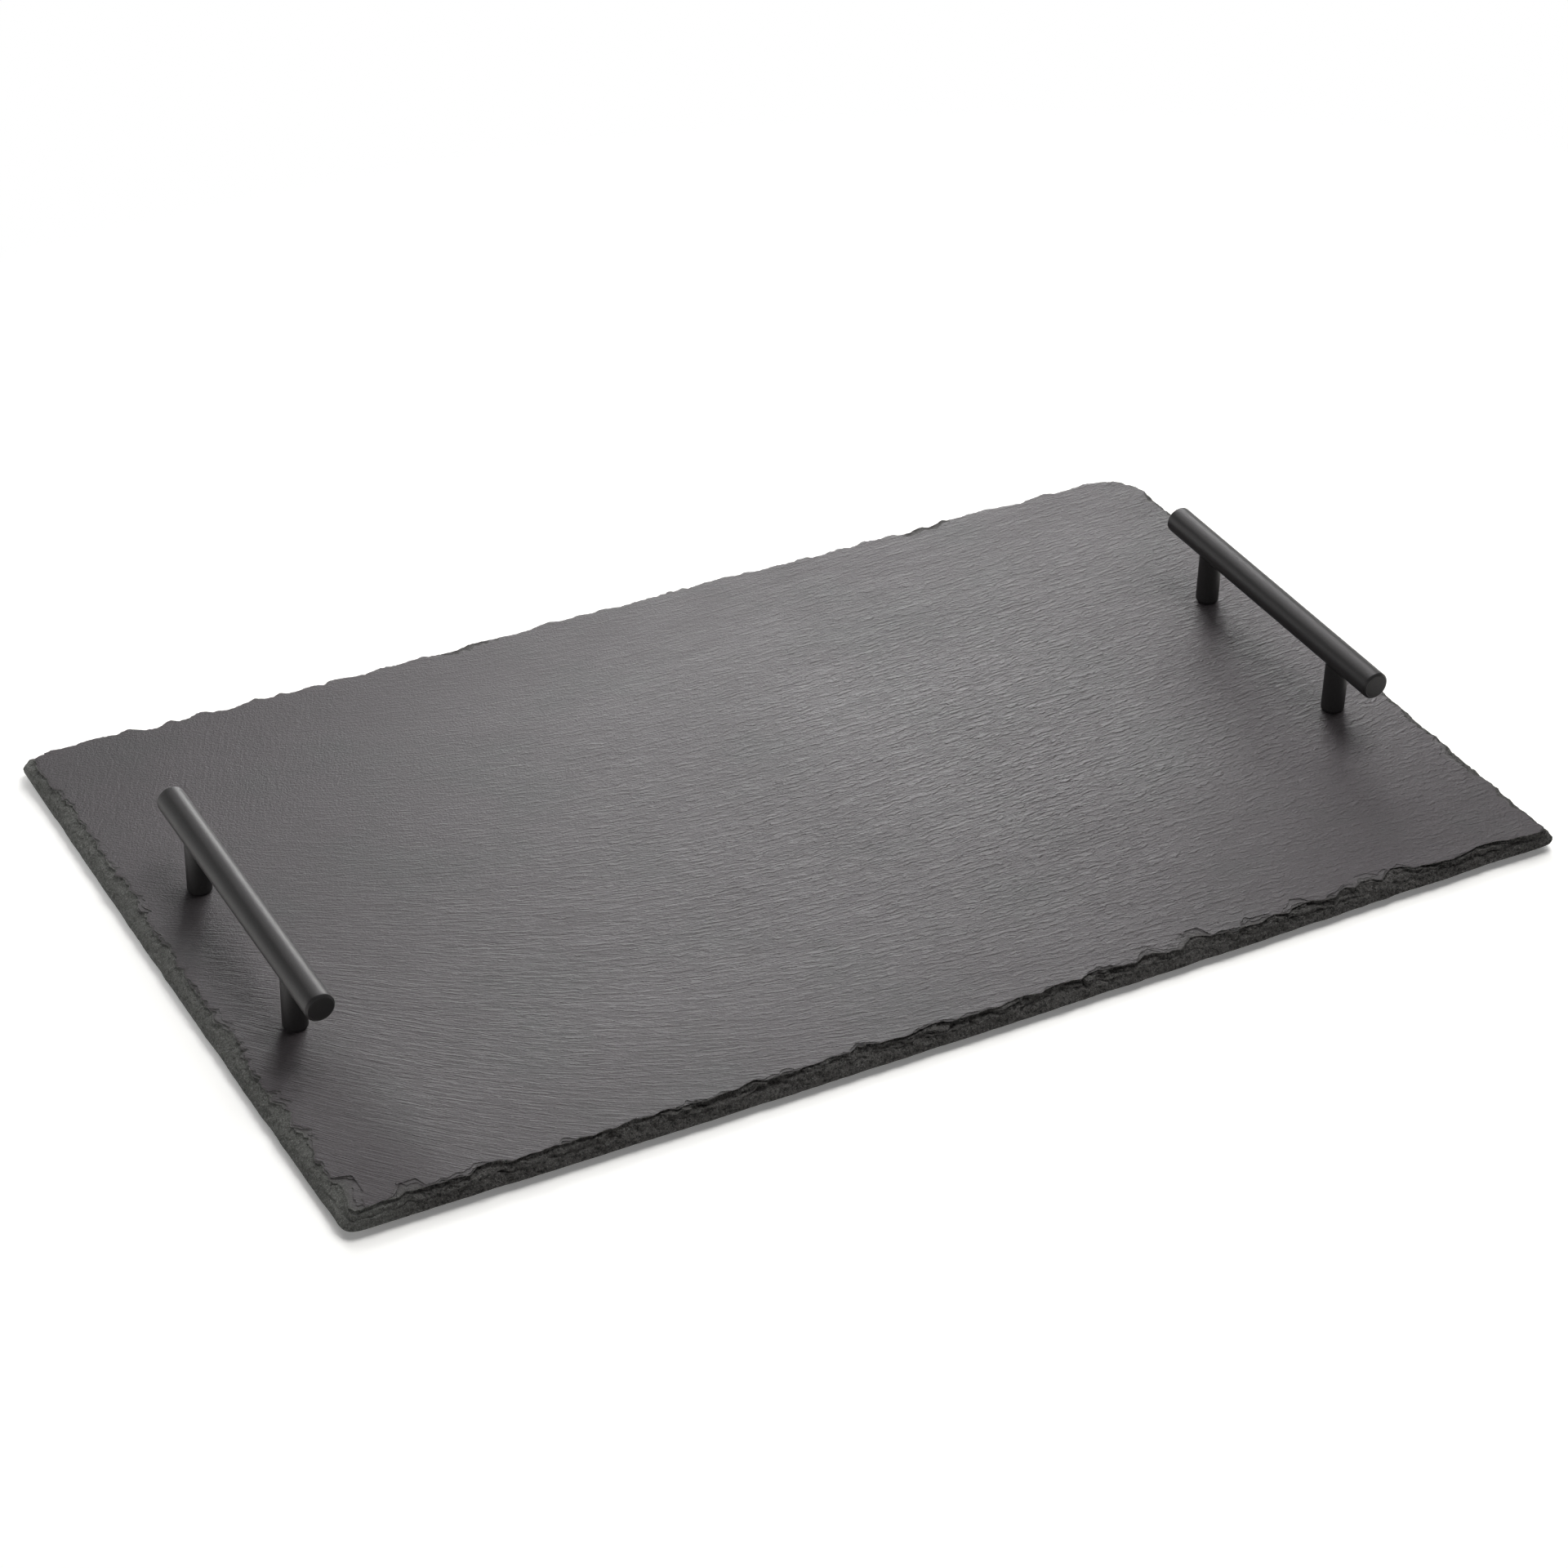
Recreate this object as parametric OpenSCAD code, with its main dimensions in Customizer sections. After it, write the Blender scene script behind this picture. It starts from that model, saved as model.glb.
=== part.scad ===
// Slate serving board with two black bar handles.
// Each handle is a round bar on two round posts, which screws hold from under the slate.
// Origin: middle of the footprint, on the surface that the feet stand on.
// +X runs along the board's length, +Y to its back, +Z up. Lengths are in millimetres.

/* [Slate] */
// Length of the slate at its widest, from left edge to right edge
board_l = 535; // [420:1:640]
// Width of the slate at its widest, from front edge to back edge
board_w = 328; // [260:1:400]
// Thickness of the slate
slate_t = 7; // [5:0.5:12]
// How far a typical dressed edge slopes back, from the lower edge to the upper one
dress_run = 3; // [1.5:0.25:5]
// Longest straight stretch along a chipped edge
chip_step = 5; // [4:0.5:12]

/* [Slate corners] */
// Radius of the lower edge at the front left corner
front_left_r = 5; // [3:0.5:20]
// Radius of the lower edge at the front right corner
front_right_r = 4; // [3:0.5:20]
// Radius of the lower edge at the back right corner
back_right_r = 18; // [3:0.5:24]
// Radius of the lower edge at the back left corner
back_left_r = 6; // [3:0.5:16]
// Radius of the upper edge at the front left corner
front_left_top_r = 3; // [2:0.5:16]
// Radius of the upper edge at the front right corner
front_right_top_r = 2.5; // [2:0.5:16]
// Radius of the upper edge at the back right corner
back_right_top_r = 18; // [2:0.5:24]
// Radius of the upper edge at the back left corner
back_left_top_r = 13; // [2:0.5:16]

/* [Handles] */
// Distance from the slate's widest edge to the axis of the nearer bar
handle_inset = 31; // [22:0.5:60]
// How far the left handle sits behind the middle line of the board
left_handle_y = -3.5; // [-10:0.5:10]
// How far the right handle sits behind the middle line of the board
right_handle_y = 0.5; // [-10:0.5:10]
// Diameter of a bar
bar_d = 12; // [10:0.5:16]
// How far a bar runs past the axis of each of its posts
bar_end = 27; // [12:0.5:45]
// Bevel round both ends of a bar
bar_bevel = 0.7; // [0.3:0.1:1.5]
// Height of a bar's axis above the slate
bar_rise = 26.4; // [24:0.2:40]
// Distance between the two posts of a handle
post_pitch = 96; // [80:1:110]
// Diameter of a post
post_d = 10; // [8:0.5:12]
// Bevel round the foot of a post
post_bevel = 0.8; // [0.3:0.1:1.5]

/* [Fixings] */
// Thread diameter of the screws and the studs
thread_d = 4; // [3:0.5:5]
// Pitch of that thread
thread_pitch = 0.7; // [0.5:0.1:0.9]
// How far a screw reaches into its post
screw_grip = 6.6; // [5:0.2:7]
// How far a stud reaches into its post, and into its bar
stud_grip = 5; // [3:0.5:5]
// Diameter of a screw head
head_d = 8; // [7:0.2:9]
// Height of a screw head
head_h = 2.4; // [2:0.1:2.6]
// Width of the cross slots in a screw head
slot_w = 1; // [0.6:0.1:1.2]
// Length of the cross slots in a screw head
slot_l = 4.4; // [3:0.2:5]
// Depth of the cross slots in a screw head
slot_depth = 1.4; // [0.8:0.1:1.6]
// Outer diameter of a washer
washer_d = 9; // [8:0.2:10]
// Thickness of a washer
washer_t = 0.8; // [0.5:0.1:1]
// Diameter of the recess in the underside that takes a washer and a screw head
recess_d = 11; // [10.5:0.5:14]
// Depth of that recess
recess_depth = 2.4; // [1.5:0.1:2.8]

/* [Feet] */
// Height of a rubber foot
foot_h = 3; // [3:0.5:6]
// Diameter of a foot where it sticks to the slate
foot_d = 14; // [10:1:20]
// Diameter of the flat that a foot stands on
foot_flat_d = 11; // [8:0.5:18]
// Rounding where the foot's side meets its flat
foot_edge = 0.6; // [0.2:0.1:1]
// Distance from the widest edges to a foot's middle
foot_inset = 32; // [24:1:60]

/* [Clearances] */
// Gap between a post's saddle and its bar
saddle_gap = 0.02; // [0.01:0.01:0.1]
// Gap between a thread and the hole that takes it
thread_gap = 0.05; // [0.02:0.01:0.1]
// Gap between a screw and its hole through the slate
shank_gap = 0.5; // [0.2:0.05:0.8]
// Gap between a screw and its washer
washer_gap = 0.15; // [0.05:0.05:0.3]
// Room left beyond the end of a screw or a stud
blind_room = 0.5; // [0.2:0.1:1]

/* [Hidden] */

$fn = 64;
// How far a cutting shape runs past the face that it cuts
overrun = 1;

// Finishes
slate_grey = [0.36, 0.36, 0.36];
powder_black = [0.13, 0.13, 0.13];
zinc = [0.72, 0.73, 0.75];
rubber_black = [0.07, 0.07, 0.07];

// The words for the two handles, and for the two ends of each
LEFT = -1;
RIGHT = 1;
FRONT = -1;
BACK = 1;

// Length of a bar
bar_l = post_pitch + 2 * bar_end;

// Heights above the surface that the feet stand on
slate_top = foot_h + slate_t;
bar_z = slate_top + bar_rise;
saddle_z = bar_z - bar_d / 2;
recess_z = foot_h + recess_depth;
head_z = recess_z - washer_t - head_h;
screw_tip_z = slate_top + screw_grip;

// Outline of a screw head from its crown to its rim: share of the radius, share of the height
head_shares = [[0.62, 0], [0.88, 0.18], [1, 0.5], [1, 1]];

// Sizes of the thread and of the holes that follow it
thread_depth = 0.6 * thread_pitch;
tapped_d = thread_d + 2 * thread_gap;

// The four sides in order, seen from above and turning left: front, right, back, left.
// Each has its first corner, its direction, the direction into the slate, and its length.
SIDES = [
  [[-board_l / 2, -board_w / 2], [1, 0], [0, 1], board_l],
  [[board_l / 2, -board_w / 2], [0, 1], [-1, 0], board_w],
  [[board_l / 2, board_w / 2], [-1, 0], [0, -1], board_l],
  [[-board_l / 2, board_w / 2], [0, -1], [1, 0], board_w],
];
// Radii at the corner where each side starts
lower_rs = [front_left_r, front_right_r, back_right_r, back_left_r];
upper_rs = [front_left_top_r, front_right_top_r, back_right_top_r, back_left_top_r];

// The lower edges were cut a little out of square, as shares of the dressed run:
// how far each side lies inside the widest outline at its first end and at its last,
// and how far its middle bows outwards.
skew_shares = [
  [0.77, 1.07, 0.92],
  [0, 0.5, 0.1],
  [1.93, -0.03, -0.2],
  [0, 1.17, 0.25],
];

// The upper edges are chipped into shallow bites between sharp points.
// Each row is one point: its place along the side, how far it lies inside the lower edge,
// and how much deeper the bite after it goes. The last two are shares of the dressed run.
front_chip_shares = [
  [0.02, 0.9, 0.15], [0.047, 1.05, 0.55], [0.062, 1.3, 0.1], [0.08, 1.4, 0.1],
  [0.1, 1.1, 1], [0.129, 1.2, 0.1], [0.153, 1.15, 0.15], [0.178, 1.3, 0.1],
  [0.193, 1.05, 0.3], [0.207, 1.25, 0.4], [0.234, 1.25, 0.45], [0.254, 1.25, 0.35],
  [0.277, 1.1, 0.1], [0.3, 1.25, 0.6], [0.323, 1.4, 0.15], [0.342, 1.25, 0.1],
  [0.368, 1.35, 0.2], [0.39, 1.5, 0.65], [0.413, 1.4, 0.15], [0.434, 1.1, 0.55],
  [0.473, 1.3, 0.1], [0.492, 1, 0.2], [0.51, 1, 0.4], [0.544, 1.05, 0.55],
  [0.579, 1.15, 0.8], [0.615, 1, 0.1], [0.624, 0.8, 1], [0.649, 0.95, 0.1],
  [0.662, 0.6, 1.2], [0.692, 1.3, 0.3], [0.71, 0.8, 0.2], [0.731, 0.75, 0.5],
  [0.757, 1, 0.9], [0.789, 1, 0.05], [0.8, 0.95, 0.8], [0.82, 1.4, 0.9],
  [0.843, 1.1, 1.5], [0.873, 1.4, 0.1], [0.897, 0.8, 0.05], [0.907, 0.55, 0.5],
  [0.957, 0.9, 0.05], [0.985, 0.7, 0],
];
right_chip_shares = [
  [0.022, 1.7, 0.1], [0.05, 1.6, 0.25], [0.085, 1.65, 0.2], [0.125, 1.4, 0.4],
  [0.17, 1.5, 0.5], [0.223, 1.2, 0.2], [0.25, 1.25, 0.45], [0.32, 1.35, 0.3],
  [0.365, 1.2, 0.4], [0.41, 1.4, 0.2], [0.455, 1.25, 0.5], [0.52, 1.35, 0.25],
  [0.56, 1.15, 0.4], [0.61, 1.3, 0.3], [0.66, 1.4, 0.45], [0.715, 1.2, 0.2],
  [0.75, 1.35, 0.4], [0.81, 1.3, 0.3], [0.857, 1.35, 0.2], [0.888, 1.3, 0.4],
  [0.92, 1.15, 0],
];
back_chip_shares = [
  [0.06, 0.7, 0.45], [0.09, 0.35, 0.5], [0.15, 0.5, 0.15], [0.165, 0.55, 0.5],
  [0.19, 0.1, 0.5], [0.21, 0.5, 0.5], [0.245, 0.45, 0.5], [0.265, 0.45, 0.4],
  [0.29, 0.7, 0.35], [0.327, 0.75, 0.25], [0.35, 0.75, 0.4], [0.38, 0.5, 0.3],
  [0.4, 0.5, 0.3], [0.417, 0.45, 0.4], [0.44, 0.45, 0.05], [0.45, 0.5, 0.3],
  [0.475, 0.85, 0.3], [0.51, 0.65, 0.3], [0.53, 0.6, 0.5], [0.557, 0.5, 0.75],
  [0.62, 0.55, 0.5], [0.67, 1.1, 0.1], [0.705, 1.1, 0.6], [0.744, 0.9, 0.2],
  [0.768, 1.2, 0.4], [0.79, 1.05, 0.7], [0.81, 0.75, 1], [0.856, 0.7, 0.5],
  [0.882, 0.7, 1.1], [0.914, 0.5, 0.35], [0.936, 0.55, 0.2], [0.955, 0.6, 0.1],
  [0.972, 0.85, 0],
];
left_chip_shares = [
  [0.05, 1.2, 0.1], [0.08, 0.9, 0.2], [0.115, 1.2, 0.7], [0.165, 1.3, 0.25],
  [0.22, 1.35, 0.25], [0.29, 1.3, 0.5], [0.37, 1.2, 0.3], [0.42, 1, 0.1],
  [0.44, 1.05, 0.8], [0.485, 1, 0.3], [0.53, 1.1, 0.25], [0.61, 0.9, 0.85],
  [0.68, 1.2, 0.2], [0.72, 0.9, 0.3], [0.77, 0.95, 1.1], [0.82, 1.1, 0.4],
  [0.89, 1.25, 0.2], [0.925, 1.3, 0.7], [0.975, 1.15, 0],
];
chip_shares = [front_chip_shares, right_chip_shares, back_chip_shares, left_chip_shares];

// Rings of the dressed edge from the underside up: share of the thickness,
// and share of the way from the lower edge to the upper one.
ring_shares = [[0, 0.12], [0.2, 0], [0.65, 0.36], [1, 1]];
// Straight stretches that make one corner
corner_steps = 5;

function lerp(a, b, u) = a + (b - a) * u;

// A hump that is 0 at both ends and 1 in the middle
function hump(u) = 4 * u * (1 - u);

// How far side i lies inside the widest outline at share s of its length
function skew(i, s) =
  dress_run * (lerp(skew_shares[i][0], skew_shares[i][1], s) - skew_shares[i][2] * hump(s));

// Point of side i at share s, set inwards by d from the lower edge
function side_point(i, s, d) =
  SIDES[i][0] + SIDES[i][1] * SIDES[i][3] * s + SIDES[i][2] * (skew(i, s) + d);

// Point on the corner where side i meets the next one, on an arc of radius r
// inside edges that are set inwards by d_here and d_next
function corner_point(i, a, d_here, d_next, r) =
  let (j = (i + 1) % len(SIDES))
  SIDES[j][0]
  + SIDES[i][2] * (skew(i, 1) + d_here + r - r * cos(a))
  + SIDES[j][2] * (skew(j, 0) + d_next + r - r * sin(a));

// Straight stretches that make the bite from chip k of side i to the next one
function bite_steps(i, k) =
  max(2, ceil((chip_shares[i][k + 1][0] - chip_shares[i][k][0]) * SIDES[i][3] / chip_step));

// Stations round the slate: each holds a lower point and the upper point above it
function bite_stations(i, k) =
  let (here = chip_shares[i][k], next = chip_shares[i][k + 1], n = bite_steps(i, k))
  [for (m = [0 : n - 1])
    let (
      u = m / n,
      s = lerp(here[0], next[0], u),
      d = dress_run * (lerp(here[1], next[1], u) + here[2] * hump(u))
    )
    [side_point(i, s, 0), side_point(i, s, d)]];

function corner_stations(i) =
  let (
    j = (i + 1) % len(SIDES),
    last = chip_shares[i][len(chip_shares[i]) - 1],
    first = chip_shares[j][0],
    d_here = dress_run * last[1],
    d_next = dress_run * first[1]
  )
  concat(
    [[side_point(i, last[0], 0), side_point(i, last[0], d_here)]],
    [for (m = [0 : corner_steps])
      let (a = 90 * m / corner_steps)
      [corner_point(i, a, 0, 0, lower_rs[j]), corner_point(i, a, d_here, d_next, upper_rs[j])]]
  );

stations = [
  for (i = [0 : len(SIDES) - 1])
    for (part = concat(
      [for (k = [0 : len(chip_shares[i]) - 2]) bite_stations(i, k)],
      [corner_stations(i)]
    ))
      for (station = part) station
];

// The bare slab of slate with its chipped edge
module dressed_slab() {
  n = len(stations);
  rings = len(ring_shares);
  points = [
    for (ring = ring_shares)
      for (station = stations)
        let (p = lerp(station[0], station[1], ring[1]))
        [p[0], p[1], ring[0] * slate_t]
  ];
  sides = [
    for (k = [0 : rings - 2])
      for (m = [0 : n - 1])
        let (a = k * n + m, b = k * n + (m + 1) % n)
        for (face = [[a, a + n, b + n], [a, b + n, b]]) face
  ];
  underside = [for (m = [0 : n - 1]) m];
  top = [for (m = [n - 1 : -1 : 0]) (rings - 1) * n + m];
  polyhedron(points, concat([underside, top], sides), convexity = 10);
}

// Where a post stands on the slate
function handle_y(hand) = hand == LEFT ? left_handle_y : right_handle_y;
function post_x(hand) = hand * (board_l / 2 - handle_inset);
function post_y(hand, end) = handle_y(hand) + end * post_pitch / 2;

module at_post(hand, end, z) {
  translate([post_x(hand), post_y(hand, end), z]) children();
}

// A straight length of thread along +Z, as a row of ridges with bevelled ends
module threaded_rod(length) {
  crest = thread_d / 2;
  root = crest - thread_depth;
  turns = floor(length / thread_pitch) - 1;
  start = (length - turns * thread_pitch) / 2;
  rotate_extrude()
    polygon(concat(
      [[0, 0], [root, 0]],
      [for (k = [0 : turns - 1])
        for (p = [[root, start + k * thread_pitch], [crest, start + (k + 0.5) * thread_pitch]]) p],
      [[root, start + turns * thread_pitch], [root, length], [0, length]]
    ));
}

module slate_board() {
  color(slate_grey)
    difference() {
      translate([0, 0, foot_h]) dressed_slab();
      for (hand = [LEFT, RIGHT])
        for (end = [FRONT, BACK]) {
          at_post(hand, end, foot_h - overrun)
            cylinder(d = thread_d + 2 * shank_gap, h = slate_t + 2 * overrun);
          at_post(hand, end, foot_h - overrun)
            cylinder(d = recess_d, h = recess_depth + overrun);
        }
    }
}

// A bar with bevelled ends and two tapped blind holes in its underside
module handle_bar(hand) {
  r = bar_d / 2;
  color(powder_black)
    difference() {
      translate([post_x(hand), handle_y(hand) + bar_l / 2, bar_z])
        rotate([90, 0, 0])
          rotate_extrude()
            polygon([
              [0, 0], [r - bar_bevel, 0], [r, bar_bevel],
              [r, bar_l - bar_bevel], [r - bar_bevel, bar_l], [0, bar_l],
            ]);
      for (end = [FRONT, BACK])
        at_post(hand, end, saddle_z - overrun)
          cylinder(d = tapped_d, h = overrun + stud_grip + blind_room);
    }
}

// A post with a saddle that fits the bar, tapped at both ends
module post(hand, end) {
  r = post_d / 2;
  color(powder_black)
    difference() {
      at_post(hand, end, slate_top)
        rotate_extrude()
          polygon([[0, 0], [r - post_bevel, 0], [r, post_bevel], [r, bar_rise], [0, bar_rise]]);
      translate([post_x(hand), post_y(hand, end) - post_d, bar_z])
        rotate([-90, 0, 0])
          cylinder(d = bar_d + 2 * saddle_gap, h = 2 * post_d);
      at_post(hand, end, slate_top - overrun)
        cylinder(d = tapped_d, h = overrun + screw_grip + blind_room);
      at_post(hand, end, saddle_z - stud_grip - blind_room)
        cylinder(d = tapped_d, h = stud_grip + blind_room + overrun);
    }
}

// A headless stud that joins a post to its bar
module stud(hand, end) {
  color(zinc)
    at_post(hand, end, saddle_z - stud_grip) threaded_rod(2 * stud_grip);
}

// A pan head screw with a cross recess, driven from under the slate
module screw(hand, end) {
  r = head_d / 2;
  color(zinc)
    difference() {
      union() {
        at_post(hand, end, head_z)
          rotate_extrude()
            polygon(concat(
              [[0, head_h], [0, 0]],
              [for (share = head_shares) [share[0] * r, share[1] * head_h]]
            ));
        at_post(hand, end, head_z + head_h)
          threaded_rod(screw_tip_z - head_z - head_h);
      }
      for (turn = [0, 90])
        at_post(hand, end, head_z - overrun)
          rotate([0, 0, turn])
            translate([-slot_l / 2, -slot_w / 2, 0])
              cube([slot_l, slot_w, slot_depth + overrun]);
    }
}

module washer(hand, end) {
  color(zinc)
    difference() {
      at_post(hand, end, recess_z - washer_t) cylinder(d = washer_d, h = washer_t);
      at_post(hand, end, recess_z - washer_t - overrun)
        cylinder(d = thread_d + 2 * washer_gap, h = washer_t + 2 * overrun);
    }
}

// A rubber foot that tapers to the flat it stands on
module foot(hand, end) {
  flat_r = foot_flat_d / 2;
  color(rubber_black)
    translate([hand * (board_l / 2 - foot_inset), end * (board_w / 2 - foot_inset), 0])
      rotate_extrude()
        polygon([
          [0, 0], [flat_r, 0], [flat_r + foot_edge, foot_edge],
          [foot_d / 2, foot_h], [0, foot_h],
        ]);
}

module left_handle_bar() { handle_bar(LEFT); }
module right_handle_bar() { handle_bar(RIGHT); }

module left_front_post() { post(LEFT, FRONT); }
module left_back_post() { post(LEFT, BACK); }
module right_front_post() { post(RIGHT, FRONT); }
module right_back_post() { post(RIGHT, BACK); }

module left_front_stud() { stud(LEFT, FRONT); }
module left_back_stud() { stud(LEFT, BACK); }
module right_front_stud() { stud(RIGHT, FRONT); }
module right_back_stud() { stud(RIGHT, BACK); }

module left_front_screw() { screw(LEFT, FRONT); }
module left_back_screw() { screw(LEFT, BACK); }
module right_front_screw() { screw(RIGHT, FRONT); }
module right_back_screw() { screw(RIGHT, BACK); }

module left_front_washer() { washer(LEFT, FRONT); }
module left_back_washer() { washer(LEFT, BACK); }
module right_front_washer() { washer(RIGHT, FRONT); }
module right_back_washer() { washer(RIGHT, BACK); }

module left_front_foot() { foot(LEFT, FRONT); }
module left_back_foot() { foot(LEFT, BACK); }
module right_front_foot() { foot(RIGHT, FRONT); }
module right_back_foot() { foot(RIGHT, BACK); }

slate_board();
left_handle_bar();
right_handle_bar();
left_front_post();
left_back_post();
right_front_post();
right_back_post();
left_front_stud();
left_back_stud();
right_front_stud();
right_back_stud();
left_front_screw();
left_back_screw();
right_front_screw();
right_back_screw();
left_front_washer();
left_back_washer();
right_front_washer();
right_back_washer();
left_front_foot();
left_back_foot();
right_front_foot();
right_back_foot();
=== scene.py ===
import math

import bpy
import numpy as np
from mathutils import Matrix, Vector


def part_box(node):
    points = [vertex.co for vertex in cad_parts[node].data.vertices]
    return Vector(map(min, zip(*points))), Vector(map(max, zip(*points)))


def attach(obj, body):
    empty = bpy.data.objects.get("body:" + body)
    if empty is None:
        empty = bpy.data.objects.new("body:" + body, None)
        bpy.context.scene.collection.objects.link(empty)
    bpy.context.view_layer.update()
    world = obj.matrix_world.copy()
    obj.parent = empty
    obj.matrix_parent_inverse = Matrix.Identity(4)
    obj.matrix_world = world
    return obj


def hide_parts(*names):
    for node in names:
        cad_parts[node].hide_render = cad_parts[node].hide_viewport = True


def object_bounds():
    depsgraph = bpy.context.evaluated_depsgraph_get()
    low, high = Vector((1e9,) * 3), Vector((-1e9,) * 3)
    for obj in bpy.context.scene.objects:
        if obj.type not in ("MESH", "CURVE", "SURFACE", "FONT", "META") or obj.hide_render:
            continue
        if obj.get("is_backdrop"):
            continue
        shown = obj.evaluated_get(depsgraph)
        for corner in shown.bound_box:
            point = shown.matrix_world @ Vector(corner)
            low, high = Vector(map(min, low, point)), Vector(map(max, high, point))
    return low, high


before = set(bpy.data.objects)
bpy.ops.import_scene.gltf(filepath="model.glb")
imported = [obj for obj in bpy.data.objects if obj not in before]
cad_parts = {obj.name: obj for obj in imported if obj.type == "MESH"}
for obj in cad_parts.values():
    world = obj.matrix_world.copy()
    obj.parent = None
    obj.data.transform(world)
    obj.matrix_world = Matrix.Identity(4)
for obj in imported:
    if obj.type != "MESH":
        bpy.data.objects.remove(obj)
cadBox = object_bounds()
print("frame:", len(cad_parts), "nodes")

mm = 0.001
hands = ("left", "right")
ends = ("front", "back")
corners = [f"{hand}_{end}" for hand in hands for end in ends]


# Noise on arrays
def cellRandom(column, row, seed):
    # One repeatable number from 0 to 1 for each whole-number cell: multiply, cross and shift its bits
    bits = (column.astype(np.int64) * 73856093) ^ (row.astype(np.int64) * 19349663) ^ (seed * 83492791)
    bits = (bits ^ (bits >> 13)) & 0x7FFFFFFF
    bits = (bits * 1274126177) & 0x7FFFFFFFFFFF
    return ((bits ^ (bits >> 15)) & 0xFFFFFF) / 0xFFFFFF


def waves(x, y, seed, around=0):
    # Gradient noise from about -1 to 1: the four corners of a unit cell each tilt their own way,
    # and the tilts are blended with 6t^5 - 15t^4 + 10t^3. After `around` cells x starts again.
    x, y = np.broadcast_arrays(np.asarray(x, float), np.asarray(y, float))
    cellX, cellY = np.floor(x), np.floor(y)
    inX, inY = x - cellX, y - cellY

    def corner(stepX, stepY):
        column = cellX + stepX
        turn = 2 * np.pi * cellRandom(column % around if around else column, cellY + stepY, seed)
        return np.cos(turn) * (inX - stepX) + np.sin(turn) * (inY - stepY)

    easeX, easeY = (t * t * t * (t * (6 * t - 15) + 10) for t in (inX, inY))
    near = corner(0, 0) * (1 - easeX) + corner(1, 0) * easeX
    far = corner(0, 1) * (1 - easeX) + corner(1, 1) * easeX
    return 1.5 * (near * (1 - easeY) + far * easeY)


def scoops(x, y, seed, around):
    # Square of the distance to the nearest of one random point per unit cell, looked for in nine cells
    cellX, cellY = np.floor(x), np.floor(y)
    nearest = np.full(np.shape(x), 4.0)
    for stepX in (-1, 0, 1):
        for stepY in (-1, 0, 1):
            column, row = cellX + stepX, cellY + stepY
            pointX = column + cellRandom(column % around, row, seed)
            pointY = row + cellRandom(column % around, row, seed + 1)
            nearest = np.minimum(nearest, (pointX - x) ** 2 + (pointY - y) ** 2)
    return nearest


def ease(x, start, end):
    # 0 before start, 1 after end, 3t^2 - 2t^3 between
    t = np.clip((x - start) / (end - start), 0, 1)
    return t * t * (3 - 2 * t)


# Meshes from arrays
def meshFrom(name, points, quads, triangles=()):
    # Puts whole arrays of corners into a new mesh: points in metres, then faces of four and of three
    quads = np.asarray(quads, np.int32).reshape(-1, 4)
    triangles = np.asarray(triangles, np.int32).reshape(-1, 3)
    loops = np.concatenate([quads.ravel(), triangles.ravel()])
    starts = np.concatenate([np.arange(len(quads)) * 4, 4 * len(quads) + np.arange(len(triangles)) * 3])
    mesh = bpy.data.meshes.new(name)
    mesh.vertices.add(len(points))
    mesh.vertices.foreach_set("co", np.asarray(points, np.float32).ravel())
    mesh.loops.add(len(loops))
    mesh.loops.foreach_set("vertex_index", loops)
    mesh.polygons.add(len(starts))
    mesh.polygons.foreach_set("loop_start", starts.astype(np.int32))
    mesh.update(calc_edges=True)
    mesh.validate()
    piece = bpy.data.objects.new(name, mesh)
    bpy.context.scene.collection.objects.link(piece)
    return piece


def strips(rows, columns):
    # Quads between neighbouring rows of a grid whose columns close into a ring
    here = np.arange(rows * columns).reshape(rows, columns)
    beside = np.roll(here, -1, axis=1)
    return np.stack([here[:-1], beside[:-1], beside[1:], here[1:]], -1).reshape(-1, 4)


def gridFaces(index, upwards):
    # Quads of a grid of vertex numbers, rows along Y
    quads = np.stack([index[:-1, :-1], index[:-1, 1:], index[1:, 1:], index[1:, :-1]], -1)
    return quads.reshape(-1, 4)[:, ::1 if upwards else -1]


def outline(index):
    # Its rim, once round against the clock
    return np.concatenate([index[0, :-1], index[:-1, -1], index[-1, :0:-1], index[:0:-1, 0]])


def fan(fine, rough, upwards):
    # Joins a ring to the outline of a coarser grid, several fine steps to each rough one
    ratio = len(fine) // len(rough)
    fine = fine.reshape(-1, ratio)
    steps = np.concatenate([fine, np.roll(fine, -1, axis=0)[:, :1]], 1)
    after = np.roll(rough, -1)
    middle = (ratio + 1) // 2
    faces = [np.stack([steps[:, m], steps[:, m + 1], rough if m < middle else after], -1)
             for m in range(ratio)]
    faces.append(np.stack([steps[:, middle], after, rough], -1))
    return np.concatenate(faces)[:, ::1 if upwards else -1]


def skin(name, grid, centre=(0, 0)):
    # A closed surface from a grid of rings (rings, columns, 3) in mm, moved to an upright axis through
    # centre. Its first and last rings are poles.
    rings, columns = grid.shape[:2]
    grid = (grid + [*centre[:2], 0]) * mm
    inner = grid[1:-1].reshape(-1, 3)
    points = np.concatenate([inner, grid[:1, 0], grid[-1:, 0]])
    here = np.arange(columns)
    following = np.roll(here, -1)
    last = (rings - 3) * columns
    first = np.stack([following, here, np.full(columns, len(inner))], -1)
    closing = np.stack([last + here, last + following, np.full(columns, len(inner) + 1)], -1)
    return meshFrom(name, points, strips(rings - 2, columns), np.concatenate([first, closing]))


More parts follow.
